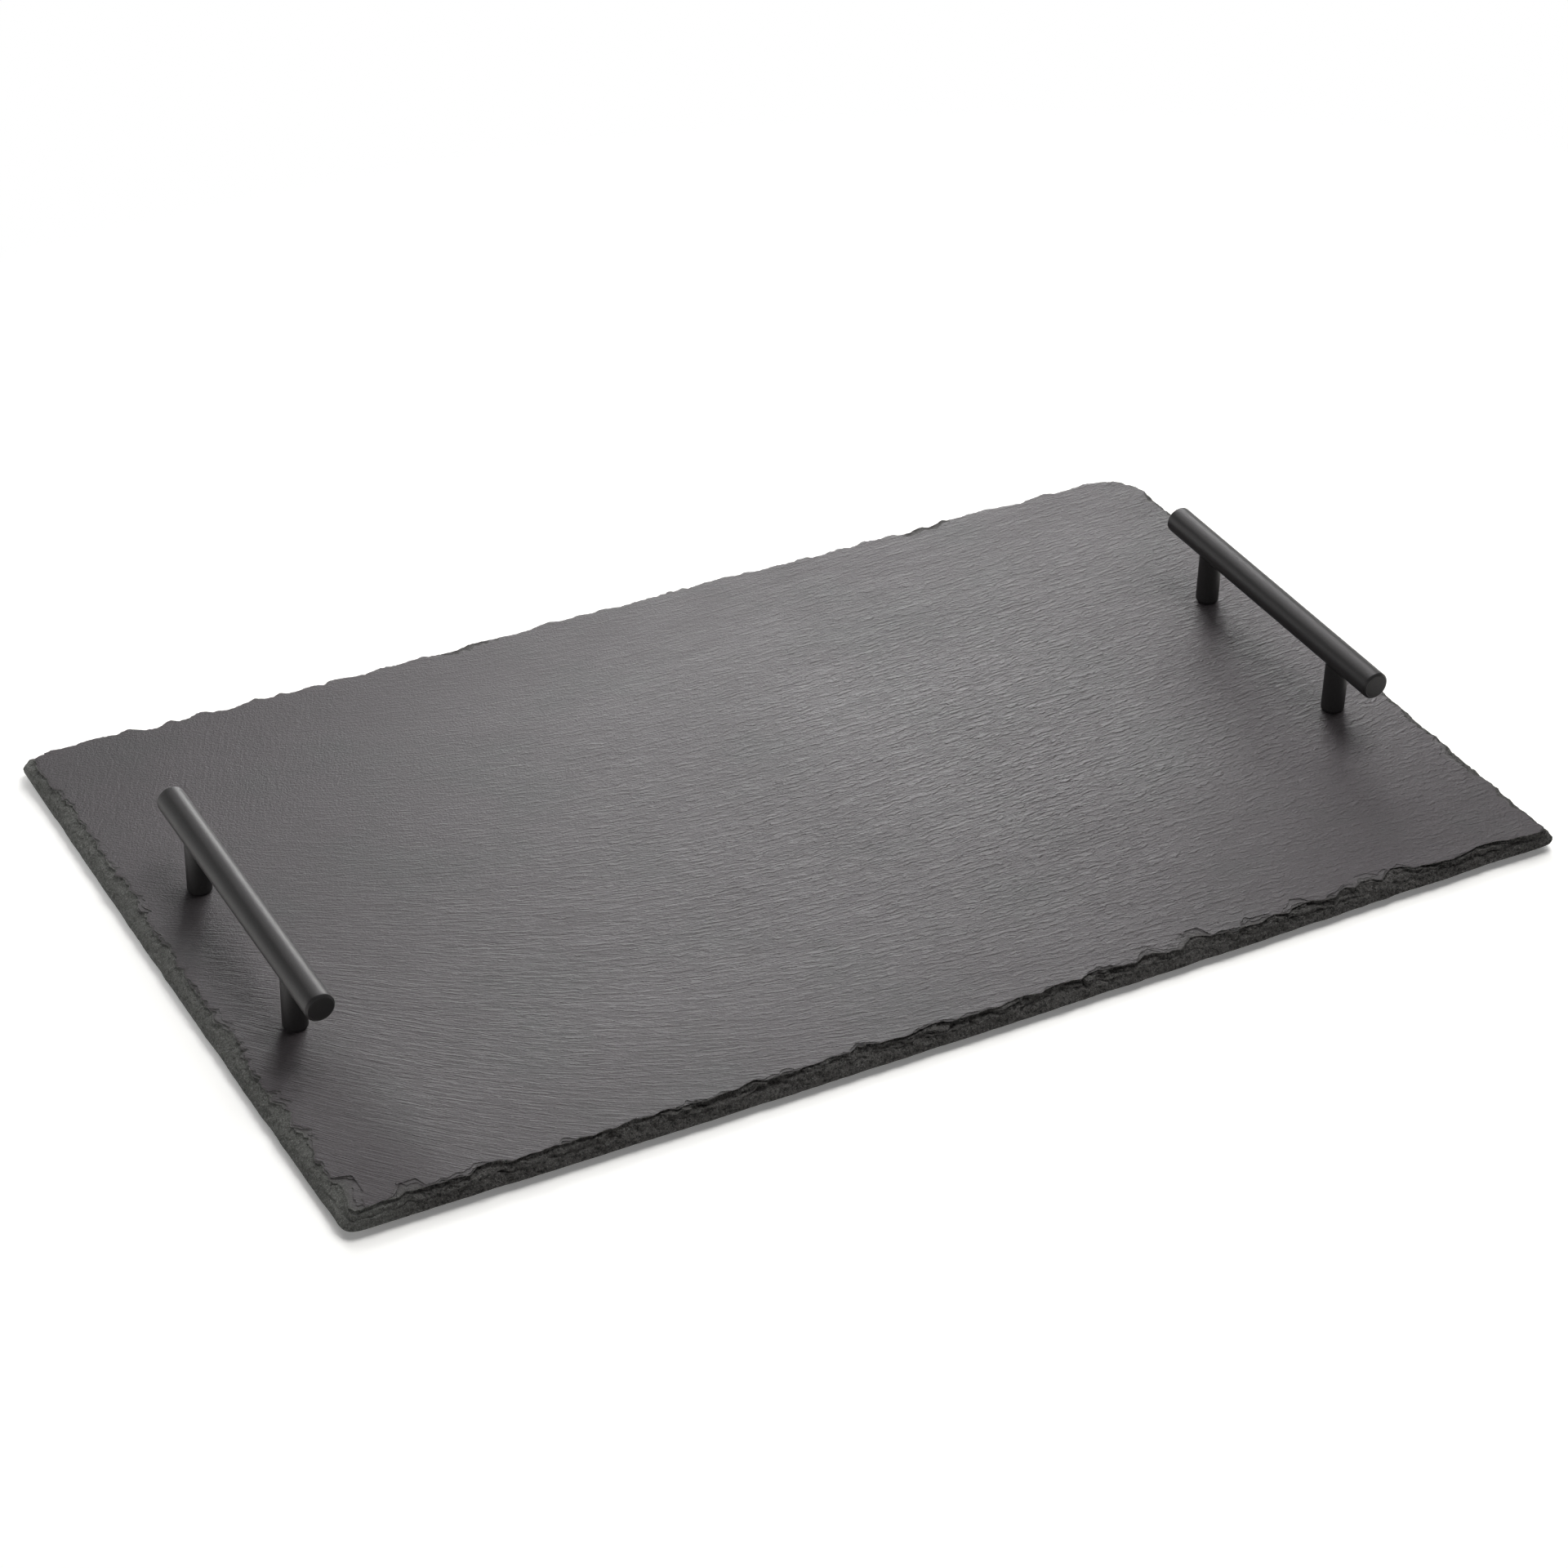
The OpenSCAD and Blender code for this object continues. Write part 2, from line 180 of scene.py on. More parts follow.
def rounded(profile, radius, steps=4):
    # Replaces each inner corner of a profile by a quadratic curve that starts and ends `radius` away
    profile = np.asarray(profile, float)
    out = [profile[:1]]
    for before, corner, after in zip(profile[:-2], profile[1:-1], profile[2:]):
        pieces = [np.linalg.norm(side - corner) for side in (before, after)]
        cuts = [corner + (side - corner) * min(radius / size, 0.45)
                for side, size in zip((before, after), pieces)]
        t = np.linspace(0, 1, steps + 1)[:, None]
        out.append((1 - t) ** 2 * cuts[0] + 2 * t * (1 - t) * corner + t ** 2 * cuts[1])
    return np.concatenate(out + [profile[-1:]])


def turned(profile, columns):
    # A profile of (radius, height) rows carried once round +Z
    angle = 2 * np.pi * np.arange(columns) / columns
    radius, height = np.asarray(profile, float).T[:, :, None]
    return np.stack(np.broadcast_arrays(radius * np.cos(angle), radius * np.sin(angle), height), -1)


def shaded(piece, sharpAngle):
    # Smooth, with the edges sharper than an angle in degrees left hard
    piece.data.shade_smooth()
    piece.data.set_sharp_from_angle(angle=math.radians(sharpAngle))
    return piece


def cut(piece, cutters):
    # Takes closed cutters out of a piece and keeps its attributes
    for cutter in cutters:
        tool = piece.modifiers.new("cut", "BOOLEAN")
        tool.operation, tool.solver, tool.object = "DIFFERENCE", "MANIFOLD", cutter
    bpy.context.view_layer.update()
    result = bpy.data.meshes.new_from_object(piece.evaluated_get(bpy.context.evaluated_depsgraph_get()))
    result.materials.clear()
    piece.modifiers.clear()
    piece.data = result
    for cutter in cutters:
        bpy.data.objects.remove(cutter)


def addShare(piece, name, values):
    # A number per vertex that the material reads
    layer = piece.data.attributes.new(name, "FLOAT", "POINT")
    layer.data.foreach_set("value", np.asarray(values, np.float32).ravel())


def place(piece, material, node):
    piece.data.materials.append(material)
    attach(piece, "root")
    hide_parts(node)


# Where things are, in millimetres
def boxOf(node):
    low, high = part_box(node)
    return np.array(low) / mm, np.array(high) / mm


def middleOf(node):
    return sum(boxOf(node)) / 2


def roundBox(node):
    # Box, middle and radius of a round piece, whose width along X is its diameter
    low, high = boxOf(node)
    return low, high, (low + high) / 2, (high[0] - low[0]) / 2


slateLow, slateHigh = boxOf("slate_board")
postAxes = np.array([middleOf(f"{corner}_post")[:2] for corner in corners])


# Shader sums as Python
def mathNode(operation, swapped=False):
    # An operator that adds a Math node, swapped where the wire stands on the right
    return lambda wire, other: wire.sheet.sum(operation, *((other, wire) if swapped else (wire, other)))


class Wire:
    # A socket's output, with the operators that are used on it
    def __init__(self, sheet, socket):
        self.sheet, self.socket = sheet, socket

    __add__, __radd__ = mathNode("ADD"), mathNode("ADD", True)
    __sub__, __rsub__ = mathNode("SUBTRACT"), mathNode("SUBTRACT", True)
    __mul__, __rmul__ = mathNode("MULTIPLY"), mathNode("MULTIPLY", True)
    __truediv__, __rtruediv__ = mathNode("DIVIDE"), mathNode("DIVIDE", True)


class Sheet:
    # The nodes of one material, or of the world
    def __init__(self, name, family="materials"):
        self.owner = getattr(bpy.data, family).new(name)
        self.owner.use_nodes = True
        self.tree = self.owner.node_tree
        self.tree.nodes.clear()

    def add(self, kind, settings=None, sockets=None, out=0):
        # The one way to make a node: its settings and ramp stops first, then its values and links
        node = self.tree.nodes.new("ShaderNode" + kind)
        settings = dict(settings or {})
        for spot, (position, shade) in enumerate(settings.pop("stops", ())):
            while len(node.color_ramp.elements) <= spot:
                node.color_ramp.elements.new(1)
            node.color_ramp.elements[spot].position = position
            node.color_ramp.elements[spot].color = (*shade, 1)
        for key, value in settings.items():
            setattr(node, key, value)
        for key, value in (sockets or {}).items():
            if isinstance(value, Wire):
                self.tree.links.new(value.socket, node.inputs[key])
            else:
                node.inputs[key].default_value = value
        return Wire(self, node.outputs[out]) if node.outputs else node

    def sum(self, operation, *values):
        return self.add("Math", {"operation": operation}, dict(enumerate(values)))

    def least(self, a, b):
        return self.sum("MINIMUM", a, b)

    def most(self, a, b):
        return self.sum("MAXIMUM", a, b)

    def ease(self, value, start, end, low=0.0, high=1.0):
        # A smooth step from low to high while value goes from start to end
        return self.add("MapRange", {"interpolation_type": "SMOOTHSTEP"},
                        {0: value, 1: start, 2: end, 3: low, 4: high})

    def axes(self, vector=None):
        # x, y and z of a vector, or of the piece's own place in millimetres
        if vector is None:
            vector = self.add("VectorMath", {"operation": "SCALE"},
                              {0: self.add("TexCoord", out="Object"), "Scale": 1 / mm})
        return [self.add("SeparateXYZ", None, {0: vector}, out=axis) for axis in range(3)]

    def point(self, x, y, z=0.0):
        return self.add("CombineXYZ", None, {0: x, 1: y, 2: z})

    def noise(self, vector, detail=2.0, roughness=0.5, scale=1.0):
        return self.add("TexNoise", None,
                        {"Vector": vector, "Scale": scale, "Detail": detail, "Roughness": roughness})

    def attribute(self, name):
        return self.add("Attribute", {"attribute_name": name}, out="Fac")

    def blend(self, factor, a, b):
        # From colour a to colour b by factor
        sockets = {"Factor": factor, 6: a if isinstance(a, Wire) else (*a, 1),
                   7: b if isinstance(b, Wire) else (*b, 1)}
        return self.add("Mix", {"data_type": "RGBA"}, sockets, out=2)

    def seen(self, mirrored=1.0):
        # 1 for what the camera sees straight on, and mirrored for what gloss and glass show of it
        camera, glossy, through = [self.add("LightPath", out=f"Is {ray} Ray")
                                   for ray in ("Camera", "Glossy", "Transmission")]
        return self.most(camera, self.most(glossy, through) * mirrored)

    def bump(self, height):
        # A height in millimetres
        return self.add("Bump", None, {"Height": height, "Distance": mm, "Strength": 1.0})

    def surface(self, **sockets):
        # The finished material: each socket's name with _ for its spaces
        named = {key.replace("_", " "): value for key, value in sockets.items()}
        self.add("OutputMaterial", None, {"Surface": self.add("BsdfPrincipled", None, named)})
        return self.owner


# Slate
slateBoard = {
    "field": (252.0, 152.0),    # half length and half width of the flat middle, in mm
    "pitch": 4.0,               # spacing of the top face's grid
    "stationsPerCell": 5,       # steps round the rim to each of its cells
    "reach": 16.0,              # how far inside the field the rim's rays start
    "planes": (0.50, 0.64, 0.77, 0.88),  # cleavage planes, shares of the thickness
    "lip": 0.15,                # how far the face overhangs its front edge
    "relief": 0.64,             # how strongly the shell-shaped breaks and strokes show
    "shells": ((7.5, 4.2), (3.4, 2.2), (1.9, 1.4)),  # length and height of the breaks
    "dish": 1.30,               # depth of the largest ones
    "teeth": 0.80,              # depth of the upright strokes low on the edge
    "spread": 0.7,              # how far the notched outline stands out at the back
    "undulation": 0.14,         # height of the broad waves on the face
    "calmRadius": (6.5, 16.0),  # the face is flat inside the first radius round a post
    "hole": 2.5,                # radius of the drilled holes
    "recess": 5.5,              # radius of the recesses from below
    "drillColumns": 64,
    # Rings of the mesh: under the rim, up the lower side, up each layer with their share of its
    # undercut, and in over the face
    "underRings": (0.66, 0.28, 0.10),
    "sideRings": (0, 0.05, 0.14, 0.25, 0.37, 0.49, 0.61, 0.74, 0.87, 0.97),
    "layerRings": ((0.05, 0.8), (0.35, 1.0), (0.65, 0.7), (0.93, 0.1)),
    "faceRings": (0.07, 0.17, 0.29, 0.43, 0.60, 0.79),
    # Notches in the face's outline where it is layered and where it is crushed: depth, length
    # and seed of the long ones, the short ones and the fine ones
    "slivers": ((0.9, 11, 61), (0.8, 3.4, 62), (0.30, 1.7, 63)),
    "bites": ((1.7, 7.3, 64), (2.0, 3.1, 65), (1.0, 1.9, 66)),
    # Corner tips left standing: distance round the rim from the front left corner, half their
    # length there and their reach outwards
    "tips": ((503, 8, 2.4), (1315, 6, 2.9)),
    # Flakes gone from the face: the same, with their reach inwards
    "flakes": ((1610, 8, 9.0), (15, 6, 6.5), (38, 9, 2.2), (326, 8, 4.2), (345, 9, 5.0), (374, 8, 3.6),
               (394, 7, 3.2), (430, 11, 4.0), (1500, 9, 3.4), (1553, 6, 5.0), (1577, 7, 4.2),
               (1420, 8, 3.0), (560, 12, 4.0), (700, 9, 3.5), (905, 14, 5.5), (1130, 16, 4.5)),
}

# How the cleavage ripples run over the face
rippleFlow = {
    "slope": 0.045,
    "slopeFall": 9e-4,    # the slope's change per mm towards the front
    "bend": 4.5e-4,
    "bendFrom": 70,       # x in mm
    "swing": 5.2e-6,
    "swingFrom": 11,
    "swingFade": 0.006,   # per mm towards the back
    "fadeSpan": 75,
    "frontLine": -40,     # y in mm where the slope's change and the swing's fade start
}


def alongField(x, y, field, reach):
    # Carries a rim point straight out from the inner rectangle (field less reach) and returns
    # its distance along the field's outline, from the front left corner, and from the rectangle.
    half = np.array(field) - reach
    centre = np.stack([np.clip(x, -half[0], half[0]), np.clip(y, -half[1], half[1])])
    away = np.stack([x, y]) - centre
    spot = centre + away * reach / np.abs(away).max(0)
    length, width = 2 * field[0], 2 * field[1]
    onFront = spot[1] < 1e-6 - field[1]
    onRight = spot[0] > field[0] - 1e-6
    onBack = spot[1] > field[1] - 1e-6
    walked = np.select([onFront, onRight, onBack],
                       [spot[0] + field[0], length + spot[1] + field[1],
                        length + width + field[0] - spot[0]],
                       2 * length + width + field[1] - spot[1])
    return walked, np.hypot(*away)


def slateRings(sizes, stations):
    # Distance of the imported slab's edge from the inner rectangle at each station, one row per level
    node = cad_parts["slate_board"]
    points = np.empty(len(node.data.vertices) * 3, np.float32)
    node.data.vertices.foreach_get("co", points)
    points = points.reshape(-1, 3).astype(float) / mm
    field = sizes["field"]
    rim = points[(np.abs(points[:, 0]) > field[0]) | (np.abs(points[:, 1]) > field[1])]
    levels = np.unique(np.round(rim[:, 2], 2))
    around = 4 * (field[0] + field[1])
    rings = []
    for level in levels:
        x, y, _ = rim[np.abs(rim[:, 2] - level) < 0.01].T
        walked, radius = alongField(x, y, field, sizes["reach"])
        walked, keep = np.unique(np.round(walked % around, 3), return_index=True)
        rings.append(np.interp(stations, walked, radius[keep], period=around))
    return levels, np.array(rings)


def flowPlace(flow, x, y, least=np.minimum, most=np.maximum):
    # The ripples run almost along X on the right and swing round on the left, less so at the back.
    # A ripple keeps the same y - a x - b (70 - x)^2 - s c (11 - x)^3, where s falls from 1 to 0.55
    # towards the back and a falls towards the front. Arrays and wires both go through it.
    right, left = most(flow["bendFrom"] - x, 0.0), most(flow["swingFrom"] - x, 0.0)
    backwards = y - flow["frontLine"]
    fade = 1 - flow["swingFade"] * most(least(backwards, flow["fadeSpan"]), 0.0)
    slope = flow["slope"] + flow["slopeFall"] * least(backwards, 0.0)
    return y - slope * x - right * right * flow["bend"] - left * left * left * flow["swing"] * fade


def faceRelief(sizes, x, y):
    # Height of the split face above its mean plane: broad waves drawn out along the ripples,
    # fading to nothing round the posts
    across = flowPlace(rippleFlow, x, y)
    broad = 0.6 * waves(x / 95, across / 48, 3) + 0.4 * waves(x / 40, across / 17, 4)
    nearest = np.min([np.hypot(x - axisX, y - axisY) for axisX, axisY in postAxes], axis=0)
    return ease(nearest, *sizes["calmRadius"]) * sizes["undulation"] * broad


def slateShape(sizes):
    # From each station on the rim a ray runs straight out of an inner rectangle, and every ring round
    # the slab gives each ray a length and a height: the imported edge's own, less the breaks. The rings
    # go from the underside's grid out, up the side and in to the face's grid.
    field, pitch, perCell = np.array(sizes["field"]), sizes["pitch"], sizes["stationsPerCell"]
    around = 4 * field.sum()
    stations = np.arange(round(around / pitch) * perCell)
    walk = stations * pitch / perCell
    length, width = 2 * field
    turns = [0, length, length + width, 2 * length + width, around]
    spotX = np.interp(walk, turns, [-field[0], field[0], field[0], -field[0], -field[0]])
    spotY = np.interp(walk, turns, [-field[1], -field[1], field[1], field[1], -field[1]])
    half = field - sizes["reach"]
    centreX, centreY = np.clip(spotX, -half[0], half[0]), np.clip(spotY, -half[1], half[1])
    spotRadius = np.hypot(spotX - centreX, spotY - centreY)
    outX, outY = (spotX - centreX) / spotRadius, (spotY - centreY) / spotRadius

    levels, rings = slateRings(sizes, walk)
    low, high = levels[0], levels[-1]
    thick = high - low
    shares = (levels - low) / thick
    # Where on the rim the break is layered (front, a little at the back) and where it is crushed
    layered = 0.10 + 0.90 * ease(-outY, 0.3, 0.9) + 0.60 * ease(outY, 0.3, 0.9)

    def noiseAlong(cell, row, seed):
        # Waves along the rim, about one to each cell of so many mm
        count = round(around / cell)
        return waves(walk * count / around, np.full(len(walk), row + 0.37), seed, count)

    layered = layered * (0.72 + 0.42 * noiseAlong(27, 0, 71))
    flat = np.clip(layered, 0, 1)
    crushed = 1 - flat

    def ringAt(share):
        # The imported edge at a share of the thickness, straight between its levels
        share = np.broadcast_to(share, walk.shape)
        spot = np.clip(np.searchsorted(shares, share, side="right") - 1, 0, len(shares) - 2)
        t = (share - shares[spot]) / (shares[spot + 1] - shares[spot])
        return rings[spot, stations] * (1 - t) + rings[spot + 1, stations] * t

    # The face's outline is notched, sharply where it is crushed, in long slivers where it is layered
    def notches(kind):
        long, short, fine = [(depth, noiseAlong(cell, 0, seed)) for depth, cell, seed in sizes[kind]]
        return (long[0] * np.clip(long[1], 0, 1) + short[0] * np.clip(short[1], 0, 1)
                + fine[0] * np.abs(fine[1]))

    notch = notches("bites") + (notches("slivers") - notches("bites")) * flat
    alongTip = sum(tall * np.exp(-((walk - spot) / long) ** 2) for spot, long, tall in sizes["tips"])
    rings = rings + alongTip * np.linspace(0.45, 1.0, len(rings))[:, None]
    upper = rings[-1] - notch + sizes["spread"] * ease(outY, 0.3, 0.9)

    # Flakes gone from the face, in two thicknesses
    gap = np.abs((walk[None] - np.array(sizes["flakes"])[:, :1] + around / 2) % around - around / 2)
    halfLength, inwards = np.array(sizes["flakes"])[:, 1:].T[:, :, None]
    named = (inwards * np.sqrt(np.clip(1 - (gap / halfLength) ** 2, 0, 1))).max(0)
    small = (2.4 * np.clip(noiseAlong(9, 0, 32) - 0.05, 0, 1)
             + 4.5 * np.clip(noiseAlong(31, 0, 31) - 0.3, 0, 1))
    rough = 0.9 * noiseAlong(4.1, 0, 35) + 0.8 * noiseAlong(1.9, 0, 36)
    outer = np.maximum(named, small)
    outer = np.clip(outer * (1 + 0.45 * noiseAlong(2.7, 0, 37)) + rough * ease(outer, 0, 1.5), 0, 12)
    otherRough = rough[::-1]  # the same roughness, walked the other way
    inner = np.clip(outer * (0.62 + 0.45 * noiseAlong(13, 0, 38)) - 0.5 + otherRough, 0, outer)
    thin = (0.26 + 0.20 * noiseAlong(23, 0, 33)) * ease(outer, 0, 1.0)
    thinner = (0.24 + 0.18 * noiseAlong(17, 0, 34)) * ease(inner, 0, 0.9)

    heights, radii, edgeShare, flaked = [], [], [], []

    def ring(height, radius, edge=0.0, gone=0.0):
        for rows, value in ((heights, height), (radii, radius), (edgeShare, edge), (flaked, gone)):
            rows.append(np.broadcast_to(value, walk.shape).astype(float))

    # Underside, from its grid out to the lower edge
    for share in sizes["underRings"]:
        ring(low, rings[0] + (spotRadius - rings[0]) * share)
    # Side: heights are shares of what is left under the flakes
    top = high - thin - thinner

    def sideRing(share, radius):
        ring(low + (top - low) * share, radius, 1.0)

    planes = [plane + 0.045 * noiseAlong(37, row, 11) + 0.05 * noiseAlong(9, row, 12)
              + 0.035 * noiseAlong(2.9, row, 10) for row, plane in enumerate(sizes["planes"])]
    planes.append(np.ones(len(walk)))
    for share in sizes["sideRings"]:
        sideRing(share * planes[0], ringAt(share * planes[0]))
    # How much of the way in each layer steps back: nothing in most places, much in a few
    weights = np.array([0.30 + noiseAlong(17, row, 13) + 0.8 * noiseAlong(5.3, row, 14)
                        for row in range(len(sizes["planes"]))])
    weights = np.clip(weights, 0.02, 2) ** 1.5
    ways = np.cumsum(weights, 0) / weights.sum(0)
    start = ringAt(planes[0])
    for row, way in enumerate(ways):
        bottom, over = planes[row], planes[row + 1]
        depth = sizes["lip"] if row == len(ways) - 1 else 0.08
        undercut = depth * layered * (0.6 + 0.6 * noiseAlong(6, row, 16))
        for share, shift in sizes["layerRings"]:
            spot = bottom + (over - bottom) * share
            stepped = start + (upper - start) * way - shift * undercut
            plain = ringAt(spot) - notch * ease(spot, 0.35, 1.0) ** 2
            sideRing(spot, stepped * flat + plain * crushed)
    side = len(radii)
    # Face: the lip, the two broken treads with their crisp risers, then inwards to the grid
    ring(top, upper - 0.05, 0.8, 1.0)
    first = np.minimum(upper - 0.12, upper - inner)
    ring(top, first, 0.0, 1.0)
    ring(high - thin, first - 0.10, 0.0, 0.8)
    second = np.minimum(first - 0.16, upper - outer)
    ring(high - thin, second, 0.0, 0.8)
    ring(high, second - 0.12)
    for share in sizes["faceRings"]:
        ring(high, second - 0.12 + (spotRadius - second + 0.12) * share)
    heights, radii = np.array(heights), np.array(radii)
    edgeShare, flaked = np.array(edgeShare), np.array(flaked)

    # Shell-shaped breaks of three sizes with sharp ridges between, upright strokes low down, and grit
    upShare = (heights - low) / thick
    across = np.broadcast_to(walk, heights.shape)

    def shells(size, seed):
        cell, tall = sizes["shells"][size]
        count = round(around / cell)
        depth = scoops(across * count / around + 0.5 * upShare, upShare * thick / tall, seed, count)
        return np.clip(1 - 2.0 * depth, 0, 1)

    teeth = np.abs(noiseAlong(2.6, 0, 17)) + 0.5 * np.abs(noiseAlong(1.7, 0, 18))
    lowDown = 1 - ease(upShare, 0.35, 0.66)
    inside = sizes["relief"] * (1 - 0.4 * crushed) * (
        sizes["dish"] * shells(0, 21) * (1 - 0.5 * ease(upShare, 0.6, 0.9))
        + (1.0 + 0.3 * crushed) * shells(1, 23) + (0.6 + 0.3 * crushed) * shells(2, 25)
        + sizes["teeth"] * teeth * lowDown * (1 - 0.6 * crushed))
    onSide = edgeShare > 0.9
    fade = (0.15 + 0.85 * ease(upShare, 0.0, 0.20)) * (1 - 0.65 * layered * ease(upShare, 0.80, 0.97))
    radii = radii + (0.6 * (1 - ease(upShare, 0.3, 0.8)) - inside * fade) * onSide
    shake = waves(across / 2.1, upShare * 4.5, 27, round(around / 2.1))
    heights = heights + 0.45 * shake * onSide * ease(upShare, 0.0, 0.10) * ease(upShare, 1.0, 0.86)
    x = np.clip(centreX + outX * radii, slateLow[0], slateHigh[0])
    y = np.clip(centreY + outY * radii, slateLow[1], slateHigh[1])
    onTop = np.arange(len(heights))[:, None] >= side
    calm = ease(upper - radii, 0.0, 5) * onTop
    worn = 0.10 * (1 - ease(upper - radii, 0.0, 0.9)) * onTop
    heights = heights + faceRelief(sizes, x, y) * calm - worn
    heights = heights - 0.10 * (waves(x / 34, y / 34, 41) * 0.5 + 0.5) * (heights < low + 0.001)

    # The two grids inside the rim
    (topX, topY), (lowX, lowY) = [np.meshgrid(*(np.arange(-size, size + 0.1, spacing) for size in field))
                                  for spacing in (pitch, 2 * pitch)]
    parts = [np.stack([x, y, heights], -1).reshape(-1, 3),
             np.stack([topX, topY, high + faceRelief(sizes, topX, topY)], -1).reshape(-1, 3),
             np.stack([lowX, lowY, low + 0 * lowX], -1).reshape(-1, 3)]
    firstTop = len(parts[0])
    firstLow = firstTop + len(parts[1])
    topIndex = firstTop + np.arange(topX.size).reshape(topX.shape)
    lowIndex = firstLow + np.arange(lowX.size).reshape(lowX.shape)

    columns = len(stations)
    lastRing = (len(heights) - 1) * columns + stations
    quads = np.concatenate([strips(len(heights), columns),
                            gridFaces(topIndex, True), gridFaces(lowIndex, False)])
    triangles = np.concatenate([fan(lastRing, outline(topIndex), True),
                                fan(stations, outline(lowIndex), False)])
    board = meshFrom("slate_slab", np.concatenate(parts) * mm, quads, triangles)
    spare = topX.size + lowX.size
    addShare(board, "edge", np.concatenate([edgeShare.ravel(), np.zeros(spare)]))
    addShare(board, "flaked", np.concatenate([flaked.ravel(), np.zeros(spare)]))
    cut(board, [drill(sizes, low, high, number, axis) for number, axis in enumerate(postAxes)])
    return shaded(board, 32)


def drill(sizes, low, high, number, axis):
    # What a drill takes out: the hole and its recess from below, a little broken out at the mouth
    hole, recess, columns = sizes["hole"], sizes["recess"], sizes["drillColumns"]
    recessTop = boxOf("left_front_washer")[1][2]
    profile = [(0, low - 1), (recess + 0.45, low - 1), (recess + 0.45, low), (recess, low + 0.4),
               (recess, recessTop), (hole, recessTop), (hole, high + 1), (0, high + 1)]
    grid = turned(profile, columns)
    bumps = 12
    chipped = 1 + 0.05 * waves(np.arange(columns) * bumps / columns, number + 0.5, 51, bumps)
    grid[1:3, :, :2] *= chipped[None, :, None]
    return skin(f"drill_{number}", grid, axis)


slateFinish = {
    # Depths of what the face's relief is made of, in mm
    "ripples": 0.32,
    "swell": 0.17,
    "steps": 0.33,
    "arcs": 0.22,
    "creases": 0.11,
    "crossing": (0.18, 0.20),  # near the back left and the front right corner
    "grain": 0.22,
    # Depths of the broken edge's relief
    "grit": 1.6,
    "strokes": 0.8,
    "shellMarks": 0.5,
    # Colours of the face
    "clouds": [(0.34, (0.046, 0.042, 0.044)), (0.50, (0.0525, 0.044, 0.048)),
               (0.66, (0.057, 0.048, 0.053))],
    "paleStreaks": (0.070, 0.062, 0.066),
    "paleGrain": (0.105, 0.097, 0.101),
    "darkGrain": (0.028, 0.027, 0.028),
    "underFlakes": (0.085, 0.083, 0.080),
    # Colours of the broken edge, in general and on the left, where the lighter, greener stone is partly
    # crushed stone and partly painted light; then the painted shade in the grit's hollows
    "stone": ((0.097, 0.093, 0.088), (0.170, 0.172, 0.160)),
    "chips": ((0.270, 0.262, 0.250), (0.360, 0.366, 0.340)),
    # painted shade: dark colour laid into the hollows of the broken edge's grit
    "paintedCreviceShade": (0.014, 0.014, 0.013),
    "roughness": 0.33,
    "gloss": 0.40,             # the shader's specular level
}


